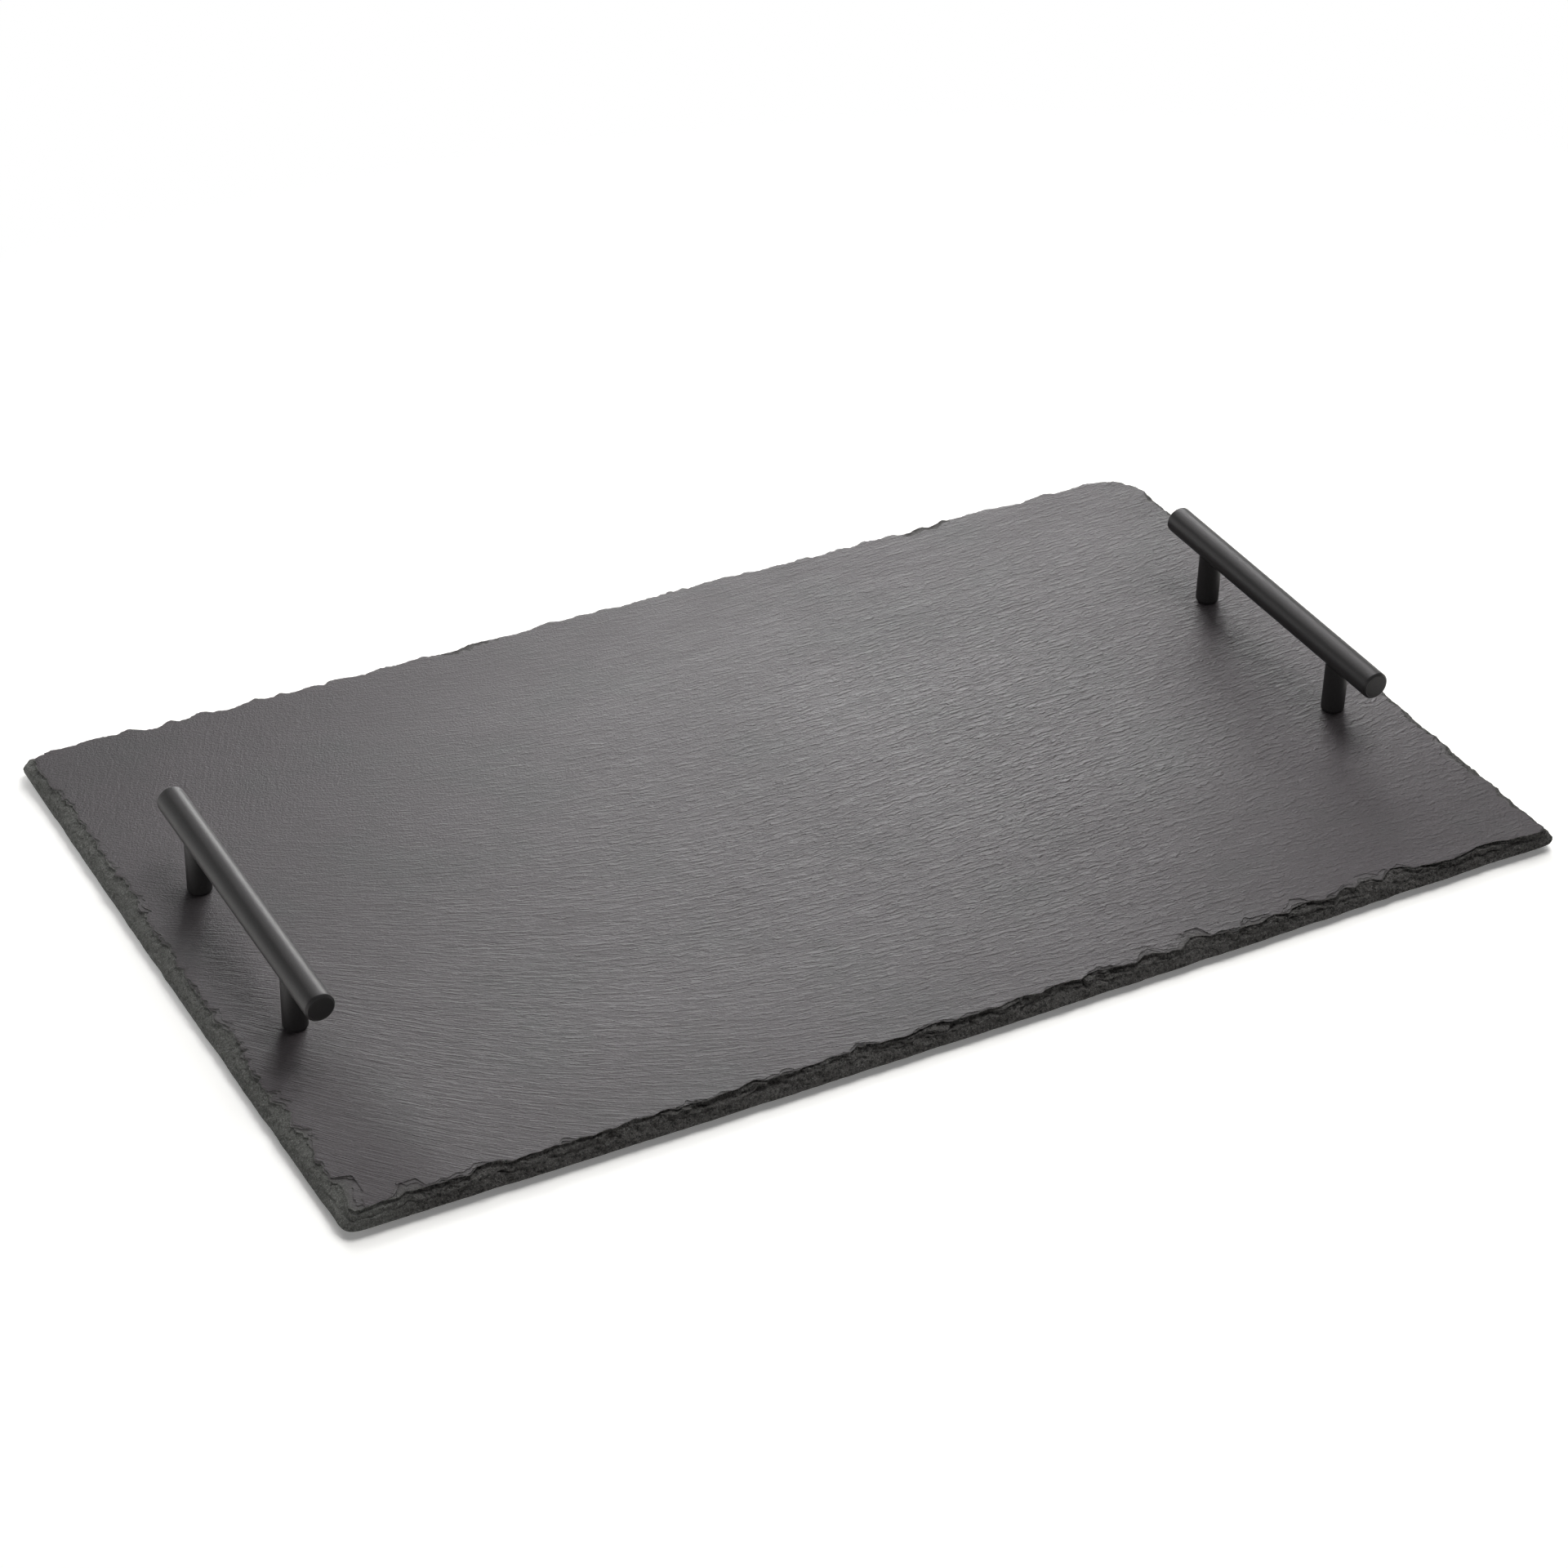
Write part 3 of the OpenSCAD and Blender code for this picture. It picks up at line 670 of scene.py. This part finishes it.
def slateStone(finish):
    # Places on the board are in mm from its middle, so that each step runs from one x or y to another
    sheet = Sheet("riven_slate")
    noise, point, step = sheet.noise, sheet.point, sheet.ease
    x, y, z = sheet.axes()
    spot = point(x, y, z)
    across = flowPlace(rippleFlow, x, y, sheet.least, sheet.most)
    edge, flaked = sheet.attribute("edge"), sheet.attribute("flaked")
    upwards = sheet.axes(sheet.add("NewGeometry", out="True Normal"))[2]
    broken = sheet.most(step(upwards, 0.93, 0.70), edge)

    # Split face: drawn-out ripples, short steps that face the front, and grain
    wander = noise(point(x / 12, across / 8, 31), 3, 0.55)
    jagged = noise(point(x / 2.6, across / 2.0, 44), 2, 0.6)
    wavy = across + 3.2 * wander + 0.8 * jagged
    ripples = noise(point(x / 6.5, wavy / 1.15), 4, 0.64)
    swell = noise(point(x / 36, across / 8.5, 4), 2, 0.5)
    phase = wavy / 2.5 + 2.2 * noise(point(x / 10, wavy / 3.9, 9), 4, 0.66)
    part = sheet.sum("FRACT", phase)
    tooth = step(part, 0.0, 0.13) - part
    patchy = step(noise(point(x / 8, wavy / 2.1, 20), 3, 0.62), 0.44, 0.60)
    grain = noise(spot, 2, 0.6, 1.35)
    frontRight = step(x, 60, 140) * step(y, -40, -95)
    strength = (step(x, -230, 60, 0.62, 1.5) * step(x, 20, 120, 1.0, 1.5)
                * step(x, 100, 180, 1.0, 0.76) * step(y - 0.35 * x, 175, -60, 0.27, 1.16)
                * step(y, 70, 140, 0.92, 0.80) * step(y, -90, -140, 1.0, 0.76)
                * (1 - 0.42 * frontRight))
    # Long creases, deepest in the front left part, and crossing ripples near the back left corner
    frontLeft = step(x, 90, -60) * step(y, 60, -40)
    arcs = noise(point(x / 50, across / 6.5, 17), 3, 0.58)
    crease = step(sheet.sum("ABSOLUTE", arcs - 0.5), 0.03, 0.0)
    corner = step(x, -90, -195) * step(y, 40, 115)
    crossing = noise(point((0.5 * x + 0.87 * y) / 8, (0.87 * x - 0.5 * y) / 1.5, 12), 3, 0.6)
    strength = strength * (1 - 0.7 * corner)
    fineness = step(x, -120, 60, 0.6, 1.0)
    atBack, atFront = finish["crossing"]
    face = (strength * (finish["ripples"] * fineness * ripples + finish["swell"] * swell
                        + finish["steps"] * tooth * patchy)
            + finish["arcs"] * frontLeft * arcs - finish["creases"] * frontLeft * crease
            + (atBack * corner + atFront * frontRight) * crossing
            + (finish["grain"] - 0.08 * frontLeft) * grain)

    # Broken edge: shell marks, upright strokes and grit
    strokes = noise(point((x + y) / 1.1, z / 6, 3), 3, 0.6)
    grit = noise(spot, 5, 0.76, 0.85)
    shellMarks = sheet.add("TexVoronoi", None, {"Vector": point(x / 2.6, y / 2.6, z / 1.1), "Scale": 1.0})
    side = finish["grit"] * grit + finish["strokes"] * strokes + finish["shellMarks"] * shellMarks
    height = face * (1 - broken) + side * broken

    # Colours
    cloud = noise(point(x / 60, y / 60, 2), 3, 0.55)
    streak = noise(point(x / 34, across / 5, 6), 4, 0.6)
    tint = sheet.add("ValToRGB", {"stops": finish["clouds"]}, {0: cloud})
    tint = sheet.blend(step(streak, 0.35, 0.7, 0, 0.30), tint, finish["paleStreaks"])
    tint = sheet.blend(step(grain, 0.55, 0.72, 0, 0.30), tint, finish["paleGrain"])
    tint = sheet.blend(step(grain, 0.45, 0.32, 0, 0.40), tint, finish["darkGrain"])
    specks = step(noise(spot, 3, 0.75, 1.9), 0.50, 0.68)
    # The left edge is lighter and greener: partly its crushed stone, partly painted light on the side
    # that faces the light
    leftEdgeCrushedAndLit = step(x, -225, -258)
    stone, chips = (sheet.blend(leftEdgeCrushedAndLit, *finish[kind]) for kind in ("stone", "chips"))
    stone = sheet.blend(specks, stone, chips)
    # Painted shade: the grit's hollows are darkened in colour as if in shadow, less on the left
    paintedCreviceShade = step(grit, 0.53, 0.39, 0, 0.88) * (1 - 0.5 * leftEdgeCrushedAndLit)
    stone = sheet.blend(paintedCreviceShade, stone, finish["paintedCreviceShade"])
    colour = sheet.blend(broken, tint, stone)
    colour = sheet.blend(flaked * 0.35, colour, finish["underFlakes"])
    # Rougher towards the front corners and the back edge, smoother right of the middle
    worn = (0.15 * step(x, 60, 190) * step(y, -30, -125)
            + 0.16 * step(x, -210, -245) * step(y, -30, -90) + 0.05 * step(y, 95, 145)
            + 0.05 * step(y, -100, -150))
    smooth = step(x, 0, 70) * step(x, 195, 130) * step(y, -90, -30) * step(y, 90, 45)
    roughness = finish["roughness"] + 0.24 * streak + 0.30 * broken + worn - 0.07 * smooth
    return sheet.surface(Base_Color=colour, Roughness=roughness, Normal=sheet.bump(height),
                         Specular_IOR_Level=finish["gloss"])


slab = slateShape(slateBoard)
place(slab, slateStone(slateFinish), "slate_board")
print("slate:", len(slab.data.polygons), "faces")


# Handles
handleBar = {
    "columns": 96,       # facets round a bar
    "rings": 26,         # along it, between the bevels
    "bevel": 0.9,        # bevel round each end, in mm
    "arris": 0.22,       # rounding of the bevel's corners
    "seam": 0.10,        # depth of the fine turned groove on each end
    "seamRadius": 0.80,  # where it is, as a share of the bar's radius
    "tap": 2.05,         # radius of the tapped holes
    "tapRoom": 0.4,      # room over the studs
}


def barShape(sizes, node, hand):
    # A turned profile along +Z, laid along +Y
    low, high, middle, radius = roundBox(node)
    length, bevel, groove = high[1] - low[1], sizes["bevel"], radius * sizes["seamRadius"]
    cap = rounded([(0, 0.05), (groove - 0.22, 0.02), (groove, sizes["seam"]), (groove + 0.2, 0.0),
                   (radius - bevel, 0), (radius, bevel), (radius, 3 * bevel)], sizes["arris"])
    inner = np.linspace(3 * bevel, length - 3 * bevel, sizes["rings"])[1:-1]
    body = np.stack([np.full(len(inner), radius), inner], -1)
    otherCap = cap[::-1] * [1, -1] + [0, length]
    grid = turned(np.concatenate([cap, body, otherCap]), sizes["columns"])
    along = np.stack([grid[..., 0] + middle[0], low[1] + grid[..., 2], middle[2] - grid[..., 1]], -1)
    bar = skin(f"{hand}_bar_turned", along)
    tap, tapTop = sizes["tap"], boxOf(f"{hand}_front_stud")[1][2] + sizes["tapRoom"]
    hole = rounded([(0, low[2] - 1), (tap, low[2] - 1), (tap, tapTop), (0, tapTop + 0.5)], 0.1, 2)
    cut(bar, [skin(f"{hand}_{end}_tap", turned(hole, 32), middleOf(f"{hand}_{end}_post"))
              for end in ends])
    return shaded(bar, 40)


handlePost = {
    "columns": 96,
    "bevel": 0.8,         # bevel round the foot, in mm
    "arris": 0.18,        # rounding of its corners
    "footHeight": 4,      # where the foot's profile ends
    "hole": 2.05,         # radius of the tapped holes
    "holeRoom": 0.5,      # room past the screw and the stud
    "drillPoint": 0.8,    # height of the holes' cones
    "countersink": 0.3,
    "saddleGap": 0.02,    # between the saddle and the bar
    "saddleEdge": 0.12,   # width of its broken edge
}


def postShape(sizes, node, hand):
    # A profile round +Z whose top follows the bar: height = bar axis - sqrt(R^2 - x^2)
    low, _, centre, radius = roundBox(node)
    barLow, barHigh = boxOf(f"{hand}_handle_bar")
    barRadius, barAxis = (barHigh[2] - barLow[2]) / 2 + sizes["saddleGap"], (barHigh[2] + barLow[2]) / 2
    hole, bevel, cone, sunk = (sizes[key] for key in ("hole", "bevel", "drillPoint", "countersink"))
    screwTip = boxOf(node.replace("post", "screw"))[1][2] + sizes["holeRoom"]
    studFoot = boxOf(node.replace("post", "stud"))[0][2] - sizes["holeRoom"]
    foot, footTop = low[2], low[2] + sizes["footHeight"]
    lower = rounded([(0, screwTip), (hole, screwTip - cone), (hole, foot + sunk), (hole + sunk, foot),
                     (radius - bevel, foot), (radius, foot + bevel), (radius, footTop)], sizes["arris"])
    columns = sizes["columns"]
    angle = 2 * np.pi * np.arange(columns) / columns

    def saddle(r):
        return barAxis - np.sqrt(barRadius ** 2 - (r * np.cos(angle)) ** 2)

    rings = [turned(lower, columns)]

    def ring(r, height):
        rings.append(np.stack([r * np.cos(angle), r * np.sin(angle),
                               np.broadcast_to(height, angle.shape)], -1)[None])

    edge = sizes["saddleEdge"]
    rim = saddle(radius) - edge
    for share in np.linspace(0.15, 1, 12):
        ring(radius, footTop + (rim - footTop) * share)
    for r in (radius - edge, *np.linspace(radius - 0.5, hole + sunk, 5)):
        ring(r, saddle(r))
    ring(hole, saddle(hole) - sunk)
    ring(hole, studFoot + cone)
    ring(0, studFoot)
    return shaded(skin(f"{node}_turned", np.concatenate(rings), centre), 40)


powderFinish = {
    "black": ((0.019, 0.0185, 0.0185), (0.027, 0.0262, 0.026)),  # between the pebbles and on them
    "dust": (0.045, 0.044, 0.043),
    "pebbles": 0.026,     # their depth, in mm
    "fine": 0.010,        # depth of the finer grain
    "roughness": 0.37,
    "gloss": 0.41,        # the shader's specular level
    "glossTint": (1.0, 0.965, 0.98, 1.0),
}


def powderCoat(finish):
    # Matt black powder: fine pebbled skin, faint dust in the hollows, and a little polish in patches
    sheet = Sheet("black_powder")
    spot = sheet.point(*sheet.axes())
    pebbles = sheet.noise(spot, 2, 0.55, 2.6)
    fine = sheet.noise(spot, 2, 0.6, 7.0)
    cloud = sheet.noise(spot, 3, 0.5, 0.06)
    colour = sheet.blend(sheet.ease(pebbles, 0.40, 0.70), *finish["black"])
    colour = sheet.blend(sheet.ease(fine, 0.60, 0.78, 0, 0.35), colour, finish["dust"])
    return sheet.surface(Base_Color=colour, Roughness=finish["roughness"] + 0.07 * cloud + 0.06 * fine,
                         Specular_IOR_Level=finish["gloss"], Specular_Tint=finish["glossTint"],
                         Normal=sheet.bump(finish["pebbles"] * pebbles + finish["fine"] * fine))


powder = powderCoat(powderFinish)
for hand in hands:
    bar = f"{hand}_handle_bar"
    place(barShape(handleBar, bar, hand), powder, bar)
    for end in ends:
        post = f"{hand}_{end}_post"
        place(postShape(handlePost, post, hand), powder, post)
print("handles: 2 bars and 4 posts")


# Fixings
fixing = {
    "columns": 48,
    "pitch": 0.7,         # of the thread, in mm
    "ringsPerTurn": 8,    # of the thread
    "depth": 0.42,        # from crest to root
    "crest": 2.0,         # outer radius of the screws' thread
    "headEdge": 0.12,     # broken edge of a screw's head
    "slotDepth": 1.3,     # of the cross recess
    "slotWidth": 0.95,
    "slotLength": 4.3,
    "slotColumns": 96,
    "washerBore": 2.15,   # its radius
}


def threadRings(sizes, bottom, top, crest):
    # A true screw thread: radius = root + depth times a triangle wave of height / pitch - turn
    columns, pitch = sizes["columns"], sizes["pitch"]
    angle = 2 * np.pi * np.arange(columns) / columns
    count = int((top - bottom) / pitch * sizes["ringsPerTurn"])
    height = np.linspace(bottom, top, count)[:, None]
    wave = (height / pitch - angle / (2 * np.pi)) % 1
    runOut = np.clip(np.minimum(height - bottom, top - height) / pitch, 0, 1)
    radius = crest - sizes["depth"] * (1 - runOut * (1 - np.abs(2 * wave - 1)))
    height = np.broadcast_to(height, radius.shape)
    return np.stack([radius * np.cos(angle), radius * np.sin(angle), height], -1)


def studShape(sizes, node):
    # A thread between two flat ends with a small chamfer
    low, high, centre, crest = roundBox(node)
    chamfer = 0.3
    tip = crest - sizes["depth"] - chamfer
    first = turned([(0, low[2]), (tip, low[2])], sizes["columns"])
    last = turned([(tip, high[2]), (0, high[2])], sizes["columns"])
    grid = np.concatenate([first, threadRings(sizes, low[2] + chamfer, high[2] - chamfer, crest), last])
    return shaded(skin(f"{node}_threaded", grid, centre), 35)


def screwShape(sizes, node):
    low, high, centre, headRadius = roundBox(node)
    crest, edge, columns = sizes["crest"], sizes["headEdge"], sizes["columns"]
    headTop = boxOf(node.replace("screw", "washer"))[0][2]
    # Pan head: a low crown, a round shoulder and a short upright rim
    angle = np.linspace(0, math.pi / 2, 7)
    shoulder = np.stack([(0.62 + 0.38 * np.sin(angle)) * headRadius,
                         low[2] + 0.5 * (headTop - low[2]) * (1 - np.cos(angle))], -1)
    profile = np.concatenate([[(0, low[2]), (0.3 * headRadius, low[2])], shoulder,
                              [(headRadius, headTop - edge), (headRadius - edge, headTop)],
                              [(crest + 0.2, headTop), (crest - 0.1, headTop + 0.2)]])
    thread = threadRings(sizes, headTop + 0.5, high[2] - 0.4, crest)
    tip = turned([(crest - 0.75, high[2]), (0, high[2])], columns)
    screw = skin(f"{node}_cut", np.concatenate([turned(profile, columns), thread, tip]), centre)
    # Cross recess: arms that taper and close in towards the bottom
    turn = 2 * np.pi * np.arange(sizes["slotColumns"]) / sizes["slotColumns"]
    arms = np.minimum(0.5 / np.maximum(np.minimum(np.abs(np.sin(turn)), np.abs(np.cos(turn))), 1e-6),
                      0.5 * sizes["slotLength"] / sizes["slotWidth"])
    rings = []
    for depth, scale in ((-1, 1.0), (0, 1.0), (0.5, 0.86), (0.85, 0.72), (1, 0.5)):
        radius = arms * sizes["slotWidth"] * scale
        rings.append(np.stack([radius * np.cos(turn), radius * np.sin(turn),
                               np.full(len(turn), low[2] + depth * sizes["slotDepth"])], -1))
    rings = np.array([rings[0] * [0, 0, 1]] + rings + [rings[-1] * [0, 0, 1]])
    cut(screw, [skin(f"{node}_recess", rings, centre)])
    return shaded(screw, 35)


def washerShape(sizes, node):
    # A closed profile carried round: a burred lower edge and softer upper ones
    low, high, centre, outer = roundBox(node)
    inner, bottom, top, columns = sizes["washerBore"], low[2], high[2], sizes["columns"]
    profile = [(inner, bottom + 0.1), (inner + 0.1, bottom), (outer - 0.12, bottom),
               (outer, bottom + 0.12), (outer, top - 0.05), (outer - 0.05, top),
               (inner + 0.05, top), (inner, top - 0.05)]
    first = np.arange(columns)
    last = (len(profile) - 1) * columns + first
    closing = np.stack([last, np.roll(last, -1), np.roll(first, -1), first], -1)
    grid = (turned(profile, columns) + [*centre[:2], 0]) * mm
    piece = meshFrom(f"{node}_pressed", grid.reshape(-1, 3),
                     np.concatenate([strips(len(profile), columns), closing]))
    return shaded(piece, 35)


zincFinish = {
    "zinc": ((0.50, 0.51, 0.53), (0.66, 0.67, 0.67)),  # darker and lighter clouds
    "scratches": (0.36, 0.36, 0.38),
    "roughness": 0.24,
}


def zincPlate(finish):
    # Dull bright zinc: fine brushed rings, cloudy patches and darker spots
    sheet = Sheet("zinc_plate")
    x, y, z = sheet.axes()
    cloud = sheet.noise(sheet.point(x, y, z), 3, 0.6, 0.5)
    scratches = sheet.noise(sheet.point(x / 0.25, y / 2.2, z / 0.3), 2, 0.6)
    colour = sheet.blend(sheet.ease(cloud, 0.35, 0.7), *finish["zinc"])
    colour = sheet.blend(sheet.ease(scratches, 0.62, 0.8, 0, 0.5), colour, finish["scratches"])
    return sheet.surface(Base_Color=colour, Metallic=1.0, Roughness=finish["roughness"] + 0.18 * cloud,
                         Normal=sheet.bump(0.006 * scratches + 0.01 * cloud))


zinc = zincPlate(zincFinish)
shapes = {"stud": studShape, "screw": screwShape, "washer": washerShape}
for corner in corners:
    for kind, shape in shapes.items():
        node = f"{corner}_{kind}"
        place(shape(fixing, node), zinc, node)
print("fixings: 4 studs, 4 screws, 4 washers")


# Feet
rubberFoot = {
    "columns": 72,
    "dimple": 0.25,     # hollow in the middle of the flat, in mm
    "flat": 0.786,      # the flat's radius, as a share of the foot's
    "rounding": 0.3,
}


def footShape(sizes, node):
    # A profile of (radius, height) from the dimple in the flat out and up to the slate
    low, high, centre, outer = roundBox(node)
    flat, tall, dimple = sizes["flat"] * outer, high[2] - low[2], sizes["dimple"]
    side = rounded([(0, dimple), (0.55 * flat, dimple * 0.8), (0.72 * flat, 0), (flat, 0),
                    (flat + 0.6, 0.6), (0.985 * outer, 0.72 * tall), (outer, 0.8 * tall),
                    (outer, tall), (0, tall)], sizes["rounding"])
    return shaded(skin(f"{node}_moulded", turned(side + [0, low[2]], sizes["columns"]), centre), 40)


rubberFinish = {
    "black": ((0.016, 0.016, 0.016), (0.032, 0.031, 0.030)),  # clean and dusty
    "roughness": 0.62,
}


def blackRubber(finish):
    sheet = Sheet("moulded_rubber")
    spot = sheet.point(*sheet.axes())
    grain = sheet.noise(spot, 3, 0.6, 3.2)
    dust = sheet.noise(spot, 2, 0.5, 0.35)
    return sheet.surface(Base_Color=sheet.blend(sheet.ease(dust, 0.45, 0.75), *finish["black"]),
                         Roughness=finish["roughness"] + 0.16 * grain, Normal=sheet.bump(0.02 * grain))


rubber = blackRubber(rubberFinish)
for corner in corners:
    node = f"{corner}_foot"
    place(footShape(rubberFoot, node), rubber, node)
print("feet: 4")


# Camera, floor and light
viewPoint = {
    "aim": (-0.5, 0.25, 10.0),   # middle of the serving face, in mm
    "azimuth": -29.353,          # degrees, 0 looks along +Y
    "elevation": 34.719,
    "roll": 1.621,
    "distance": 1634.68,         # mm
    "aside": -0.229,             # the camera's own shift right and up, in mm
    "up": 3.670,
    "lens": 92.277,              # on a 36 mm sensor
}


def setCamera(view):
    # Stands back from the aim along the viewing direction, then rolls about it and shifts
    azimuth, elevation, roll = (math.radians(view[key]) for key in ("azimuth", "elevation", "roll"))
    back = Vector((math.sin(azimuth) * math.cos(elevation), -math.cos(azimuth) * math.cos(elevation),
                   math.sin(elevation)))
    side = (-back).cross(Vector((0, 0, 1))).normalized()
    upward = side.cross(-back)
    right = side * math.cos(roll) + upward * math.sin(roll)
    up = upward * math.cos(roll) - side * math.sin(roll)
    spot = Vector(view["aim"]) + back * view["distance"] + right * view["aside"] + up * view["up"]
    camera = bpy.data.objects.new("camera", bpy.data.cameras.new("camera"))
    bpy.context.scene.collection.objects.link(camera)
    camera.matrix_world = Matrix.Translation(spot * mm) @ Matrix((right, up, back)).transposed().to_4x4()
    camera.data.lens = view["lens"]
    camera.data.sensor_width = 36
    bpy.context.scene.camera = camera


studio = {
    "floorHalf": 6.0,                  # metres
    "floorDepth": 0.0002,              # below the feet
    "shadowNear": 0.42,                # inside this distance the floor shows its shading
    "shadowFar": 0.62,                 # and beyond this one it is plain white
    "stretch": 1.35,                   # of both distances along X
    "floorSeen": (0.96, 0.95, 0.92),   # the floor as it is seen
    "floorLight": (0.70, 0.70, 0.69),  # and as it lights the board
    "outline": (262.5, 162.5),         # half the board's length and width over the floor, in mm
    "liftWithPaintedShadow": (0.16, 0.34),              # white glowing from the floor, lower under the board's outline than clear of it: a painted shadow edge over the rendered shadow
    "paintedShadowRamp": (5.0, 9.0),           # from one to the other along X and Y, in mm: the width of the painted shadow edge
    "sky": 0.04,                       # the world's light
    "whiteSky": (0.0, 0.3),            # heights of a direction where its white fades in reflections
    # Softboxes: power in watts, width and height, and place, in metres
    "lamps": {
        "back_right": (6.6, (0.4, 0.6), (1.0, 1.3, 0.65)),
        "back_middle": (5.3, (0.4, 0.85), (0.6, 1.3, 0.47)),
        "back_high": (4.6, (1.2, 0.3), (-0.08, 1.3, 1.35)),
        "back_left": (1.0, (0.4, 0.3), (-0.6, 1.3, 0.2)),
        "overhead": (23.4, (1.1, 1.1), (0.55, 0.25, 1.6)),
        "side_fill": (3.5, (1.0, 0.6), (-1.6, -0.1, 0.35)),
        "front_fill": (2.3, (1.2, 0.4), (-0.3, -1.7, 0.3)),
    },
}


def setFloor(sizes):
    # Shows the board's shadow near it and is plain white further off; its glow is lower along the board's
    # outline, a painted shadow edge
    square = sizes["floorHalf"] * np.array([(-1, -1, 0), (1, -1, 0), (1, 1, 0), (-1, 1, 0)])
    floor = meshFrom("floor", square - [0, 0, sizes["floorDepth"]], [[0, 1, 2, 3]])
    sheet = Sheet("white_floor")
    x, y, _ = sheet.axes()
    narrowed = x / sizes["stretch"]
    far = sheet.sum("SQRT", narrowed * narrowed + y * y) * mm
    outX, outY = [sheet.most(sheet.sum("ABSOLUTE", spot) - size, 0.0) / wide
                  for spot, size, wide in zip((x, y), sizes["outline"], sizes["paintedShadowRamp"])]
    gap = sheet.sum("SQRT", outX * outX + outY * outY)
    # Painted shadow: less white glow along the board's outline than clear of it
    liftWithPaintedShadow = sheet.ease(gap, 0, 1, *sizes["liftWithPaintedShadow"])
    seen = sheet.seen()
    colour = sheet.blend(seen, sizes["floorLight"], sizes["floorSeen"])
    lit = sheet.add("AddShader", None, {
        0: sheet.add("BsdfDiffuse", None, {"Color": colour}),
        1: sheet.add("Emission", None, {"Color": (1, 1, 1, 1), "Strength": seen * liftWithPaintedShadow})})
    white = sheet.add("Emission", None, {"Color": (1, 1, 1, 1), "Strength": 1.0})
    away = sheet.ease(far, sizes["shadowNear"], sizes["shadowFar"]) * seen
    sheet.add("OutputMaterial", None, {
        "Surface": sheet.add("MixShader", None, {0: away, 1: lit, 2: white})})
    floor.data.materials.append(sheet.owner)
    floor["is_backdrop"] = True


def setWorld(sizes):
    # White to the camera, white near the horizon in reflections, and dim as a light
    sheet = Sheet("studio", "worlds")
    height = sheet.axes(sheet.add("TexCoord", out="Generated"))[2]
    strength = sheet.most(sheet.seen(sheet.ease(height, *sizes["whiteSky"], 1, 0)), sizes["sky"])
    sheet.add("OutputWorld", None, {
        "Surface": sheet.add("Background", None, {"Color": (1, 1, 1, 1), "Strength": strength})})
    bpy.context.scene.world = sheet.owner


def setLamps(sizes):
    # Each softbox looks at the middle of the board
    for name, (power, size, spot) in sizes["lamps"].items():
        lamp = bpy.data.lights.new(name, "AREA")
        lamp.energy = power
        lamp.shape = "RECTANGLE"
        lamp.size, lamp.size_y = size
        holder = bpy.data.objects.new(name, lamp)
        bpy.context.scene.collection.objects.link(holder)
        turn = (-Vector(spot)).to_track_quat("-Z", "Y").to_matrix().to_4x4()
        holder.matrix_world = Matrix.Translation(spot) @ turn


setCamera(viewPoint)
setFloor(studio)
setWorld(studio)
setLamps(studio)
bpy.context.scene.view_settings.view_transform = "Standard"
print("camera, floor and light set")

plain = lambda box: [[float(number) for number in corner] for corner in box]
{"cad": plain(cadBox), "visual": plain(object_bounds())}
